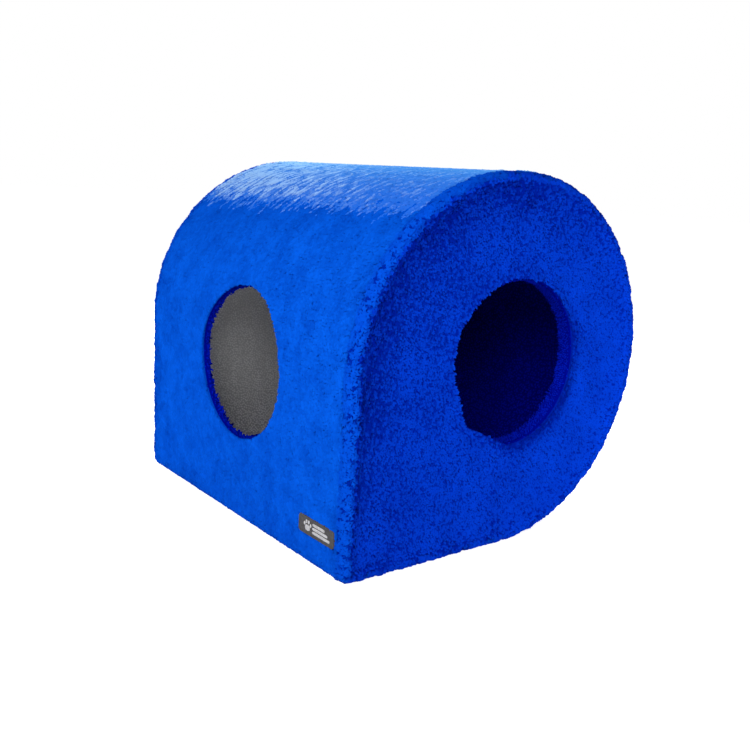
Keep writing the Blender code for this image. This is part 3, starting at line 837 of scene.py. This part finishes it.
# On the top, past the border, the tone is raised as a painted highlight, most towards the back left and to
# nothing at the front right.
brushed = {
    **smooth, "brushed_way": (-0.2, 0.015, 1.0), "brushed_above": 0.382, "brushed_tone": 0.01,
    "painted_highlight_fade": (2.85, -2.7, 0.0), "streak_size": (0.017, 0.0060, 1.0), "slant": -0.3,
    "streaks": 6.0, "ridges": 1.0, "brushed": sheen_and_painted_highlight_blue,
}

# Each band, its points of the outline, whether the window cuts it, and its pile
bands = (
    ("lower_right", range(0, 22), False, {"nap": (0.0, 0.0, -0.0010), **smooth, "tuft_radius": 0.0027}),
    ("upper_right", range(21, 43), False, {"nap": (-0.0012, 0.0, 0.0), **brushed, "tuft_radius": 0.0027}),
    ("upper_left", range(42, 65), True, {"nap": (-0.0012, -0.0003, -0.0008), **brushed}),
    ("left_wall", range(64, 70), True, {"nap": (0.0, 0.0, -0.0012), **smooth, **tag_space}),
    ("base", (69, 0), False, {
        "length": 0.0016, "spacing": 0.0031, "tuft_radius": 0.0014, "scatter": 0.0018,
        "soft": 0.7, "plush": shell_blue,
    }),
)
outer, inner = house_outline(BACKING), house_outline(COVER)
for number, (name, reach, window, sizes) in enumerate(bands):
    band = strip_backing(
        "shell_plush_" + name, [outer[index] for index in reach], [inner[index] for index in reach], stations,
        start=run_along(outer)[reach[0]],
    )
    if window:
        cut_window(band)
    grow_pile(band, seed=10 + number, **sizes)
    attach(band, "root")
    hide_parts("shell_cover")


# Entry trim: a sleeve of the same plush through the front wall, rolled over at both lips
# and glued to the cut edge of the panel. Its tufts are finer and point to the middle. Its blue
# is far darker than the outside's, as painted shade inside the hole.
def sleeve_backing(name, rings, pile_rows):
    """Ground of a plush sleeve: closed rings of the wall's section, one for each direction."""
    shape, grows, *_ = empty_ground()
    loops = [[shape.verts.new(point) for point in ring] for ring in rings]
    for near, far in zip(loops, loops[1:] + loops[:1]):
        for index in range(len(near)):
            following = (index + 1) % len(near)
            face = shape.faces.new((near[index], near[following], far[following], far[index]))
            face[grows] = index in pile_rows
    return ground(name, shape)


entry_section = (
    (0.0908, 0.0040), (0.0906, 0.0030), (0.0901, 0.0029), (0.0897, 0.0035),
    (0.0897, 0.0188), (0.0901, 0.0194), (0.0906, 0.0193), (0.0908, 0.0184),
)
entry_rows = [
    [(x, FRONT + depth, z) for x, z in round_hole(*ENTRY[:2], radius)] for radius, depth in entry_section
]
# Far darker than the outside's blue: painted shade in the holes' reveals.
trim_blue = plush("trim_blue_plush", (0.0, 0.003, 0.26), (0.0003, 0.008, 0.42), (0.0006, 0.014, 0.58))
entry_trim = grow_pile(
    sleeve_backing("front_hole_plush", zip(*entry_rows), range(1, 6)), plush=trim_blue, seed=21,
    length=0.0036, spacing=0.0019, tuft_radius=0.0009, clump_size=0.005,
)
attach(entry_trim, "root")
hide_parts("front_hole_trim")


# Window trim: the same sleeve through the left wall, in the same darker blue painted as shade.
# The top of the window lies on the bend, so the sleeve is cut to the curve there, and its tufts
# make a ragged rim.
def wall_x(z, inset):
    """Where the left wall or the bend above it stands at this height."""
    if z <= HEIGHT - BEND:
        return LEFT + inset
    return LEFT + BEND - math.sqrt((BEND - inset) ** 2 - (z - HEIGHT + BEND) ** 2)


window_section = (
    (0.0867, 0.0036, 0.0003), (0.0864, 0.0032, 0.0), (0.0859, 0.0032, 0.0), (0.0856, 0.0032, 0.0005),
    (0.0856, 0.0106, -0.0005), (0.0859, 0.0106, 0.0), (0.0864, 0.0106, 0.0), (0.0867, 0.0102, -0.0003),
)
window_rows = [
    [(wall_x(z, inset) + further, y, z) for y, z in round_hole(*WINDOW[:2], radius)]
    for radius, inset, further in window_section
]
window_trim = grow_pile(
    sleeve_backing("side_hole_plush", zip(*window_rows), range(1, 6)), plush=trim_blue, seed=22,
    length=0.0050, spacing=0.0021, tuft_radius=0.0011, clump_size=0.006, clump_pull=0.6, uneven=0.6,
)
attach(window_trim, "root")
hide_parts("side_hole_trim")


# Shell lining: short blue plush glued inside the bent sheet, and carried over the rails.
# It is made in a right and a left half that meet unseen at the top.
WOOD = 0.0086
BOARD_TOP = 0.0239
CABIN = -0.1926
RAIL_HALF = 0.009
RAIL_DEPTH = 0.018


def cabin_path(inset, clear):
    """Front-view path inside the shell, round both rails, from the board's right end to its left."""
    right, height = BEND_CENTRE
    reach, side = BEND - inset, RAIL_HALF + clear
    half, foot = [math.degrees(math.asin(rise / reach)) for rise in (side, height - BOARD_TOP)]
    inner = BEND - WOOD - RAIL_DEPTH - clear

    def arc(x, first, last, steps):
        turns = [math.radians(first + (last - first) * step / steps) for step in range(steps + 1)]
        return [(x + reach * math.cos(turn), height + reach * math.sin(turn)) for turn in turns]

    points = []
    for x, angle, start, end in ((right, 45, -foot, 90), (LEFT + BEND, 135, 90, 180)):
        across = Vector((math.cos(math.radians(angle)), math.sin(math.radians(angle))))
        along = Vector((-across.y, across.x))
        points += arc(x, start, angle - half, 18)
        points += [tuple(Vector((x, height)) + across * inner + along * shift) for shift in (-side, side)]
        points += arc(x, angle + half, end, 8)
    points.append((LEFT + inset, BOARD_TOP))
    return points


lining_blue = plush("lining_blue_plush", (0.0, 0.001, 0.18), (0.0003, 0.003, 0.32), (0.0005, 0.006, 0.48))
short_pile = {
    "length": 0.0028, "spacing": 0.0032, "tuft_radius": 0.0016, "swirl": 0.0012,
    "clump_size": 0.008, "clump_pull": 0.35,
}
pile_path, glued_path = cabin_path(WOOD + 0.0008, 0.0011), cabin_path(WOOD, 0.0003)
cabin_ends = ((CABIN, 0.0), (-CABIN, 0.0))
top = len(pile_path) // 2
for name, reach, window in (("right", slice(0, top), False), ("left", slice(top - 1, None), True)):
    half = strip_backing("shell_lining_" + name, pile_path[reach], glued_path[reach], cabin_ends)
    if window:
        cut_window(half)
    grow_pile(half, plush=lining_blue, seed=31 + window, **short_pile)
    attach(half, "root")
    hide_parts("shell_lining")


# Front, back and floor linings: the same short plush, cut flat. The back wall's is gray,
# and shows through the window.
def end_lining(name, side):
    """Ground of a lining on the inside of an end panel, notched round the rails."""
    shape, grows, _, place = empty_ground()
    layers = (side * (CABIN - 0.0017), side * (CABIN - 0.0025))
    near, far = [[shape.verts.new((x, y, z)) for x, z in cabin_path(WOOD, 0.0003)] for y in layers]
    for vert in shape.verts:
        vert[place] = (vert.co.z, vert.co.x, 0.0)
    join_rings(shape, near, far)
    shape.faces.new(near)[grows] = True
    shape.faces.new(far)
    return ground(name, shape)


gray = plush("lining_gray_plush", (0.50, 0.50, 0.50), (0.58, 0.58, 0.57), (0.76, 0.76, 0.75))
front_lining = end_lining("front_lining_plush", 1)
sleeve_gap = round_hole(*ENTRY[:2], 0.0913)
cut_hole(front_lining, *[[(x, y, z) for x, z in sleeve_gap] for y in (-0.25, -0.15)])
grow_pile(front_lining, plush=lining_blue, seed=33, **short_pile)
brushed_gray = {
    **short_pile, "spacing": 0.0026, "tuft_radius": 0.0013, "uneven": 0.1, "clump_pull": 0.1,
    "mottle": 0.05, "pits": 0.1, "brushed_above": -1.0, "streak_size": (0.05, 0.012, 1.0),
    "streaks": 1.5, "ridges": 0.3, "soft": 0.9,
}
back_lining = grow_pile(end_lining("back_lining_plush", -1), plush=gray, seed=34, **brushed_gray)
floor_left, floor_right = -0.1966, 0.0776
floor_paths = [[(floor_right, z), (floor_left, z)] for z in (0.0247, BOARD_TOP)]
floor_lining = grow_pile(
    strip_backing("floor_lining_plush", *floor_paths, cabin_ends), plush=lining_blue, seed=35, **short_pile,
)
for item, name, finish_slot in (
    (front_lining, "front_lining", "plush_blue"),
    (back_lining, "back_lining", "plush_gray"),
    (floor_lining, "floor_lining", "plush_blue"),
):
    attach(item, "root")
    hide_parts(name)


# Side tag: a small moulded rubber tag, glued flat on the left wall. It has a rounded bead
# round a sunk field, and a pale raised mark in it: a plain paw print and three bars.
TAG_Y = -0.1695
TAG_Z = 0.0425


def tag_outline(inset):
    """Rounded rectangle of the tag's face (y, z), this far inside its edge."""
    half_width, half_height, corner, steps = 0.031, 0.0095, 0.004, 6
    reach = corner - inset
    points = []
    for quarter, (across, up) in enumerate(((1, -1), (1, 1), (-1, 1), (-1, -1))):
        for step in range(steps + 1):
            angle = math.radians(90 * (quarter - 1 + step / steps))
            points.append((
                TAG_Y + across * (half_width - corner) + reach * math.cos(angle),
                TAG_Z + up * (half_height - corner) + reach * math.sin(angle),
            ))
    return points


def tag_mesh(name, rings, material):
    """A closed relief through rings of (x, points of the face)."""
    shape = bmesh.new()
    loops = [[shape.verts.new((x, y, z)) for y, z in points] for x, points in rings]
    for near, far in zip(loops, loops[1:]):
        join_rings(shape, near, far)
    shape.faces.new(loops[0])
    shape.faces.new(loops[-1])
    bmesh.ops.recalc_face_normals(shape, faces=shape.faces)
    item = as_object(name, shape)
    item.data.shade_smooth()
    item.data.set_sharp_from_angle(angle=math.radians(50))
    item.data.materials.append(material)
    return item


rubber, rubber_tree, rubber_shader = finish("tag_rubber", Roughness=0.6, Specular_IOR_Level=0.2)
moulded = object_point(rubber_tree)
pebble = node(rubber_tree, "ShaderNodeTexVoronoi", {"Vector": moulded, "Scale": 1900.0})
dusty = ramp(rubber_tree, noise(rubber_tree, moulded, 260.0, 3.0)[0], 0.3, 0.7)
dusty = mixed(rubber_tree, dusty, (0.044, 0.042, 0.042, 1.0), (0.066, 0.063, 0.063, 1.0))
rubber_tree.links.new(dusty, rubber_shader.inputs["Base Color"])
raised(rubber_tree, rubber_shader, pebble.outputs["Distance"], 0.0001)
face = LEFT - 0.0010
tag = tag_mesh("side_tag_body", [(x, tag_outline(inset)) for x, inset in (
    (LEFT + 0.0012, 0.0), (face + 0.0005, 0.0), (face + 0.0001, 0.0003),
    (face, 0.0008), (face + 0.0001, 0.0013), (face + 0.0005, 0.0016),
)], rubber)
pale_rubber, pale_tree, pale_shader = finish("tag_mark_rubber", Roughness=0.5, Specular_IOR_Level=0.3)
grimy = ramp(pale_tree, noise(pale_tree, object_point(pale_tree), 420.0, 3.0)[0], 0.35, 0.75)
grimy = mixed(pale_tree, grimy, (0.53, 0.53, 0.54, 1.0), (0.40, 0.39, 0.40, 1.0))
pale_tree.links.new(grimy, pale_shader.inputs["Base Color"])


def mark(name, across, up, half_width, half_height, square):
    """One raised shape of the mark; square is 2 for an oval and higher for a bar."""
    rings, sides = [], 20
    for x, grow in ((face + 0.0006, 1.0), (face + 0.0001, 1.0), (face - 0.0001, 0.86)):
        points = []
        for side in range(sides):
            angle = math.tau * side / sides
            turns = (math.cos(angle), math.sin(angle))
            bulge = [math.copysign(abs(turn) ** (2 / square), turn) for turn in turns]
            y = TAG_Y - across - half_width * grow * bulge[0]
            points.append((y, TAG_Z + up + half_height * grow * bulge[1]))
        rings.append((x, points))
    return tag_mesh(name, rings, pale_rubber)


marks = [mark("tag_mark_" + name, *sizes) for name, *sizes in (
    ("pad", -0.0148, -0.0020, 0.0043, 0.0031, 2.4),
    ("toe_1", -0.0201, 0.0014, 0.0014, 0.0020, 2.0),
    ("toe_2", -0.0168, 0.0041, 0.0014, 0.0021, 2.0),
    ("toe_3", -0.0128, 0.0041, 0.0014, 0.0021, 2.0),
    ("toe_4", -0.0095, 0.0014, 0.0014, 0.0020, 2.0),
    ("bar_1", 0.0045, 0.0040, 0.0105, 0.0015, 5.0),
    ("bar_2", 0.0070, 0.0, 0.0130, 0.0015, 5.0),
    ("bar_3", 0.0090, -0.0040, 0.0150, 0.0015, 5.0),
)]
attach(tag, "root")
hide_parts("side_tag")
for item in marks:
    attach(item, "root")
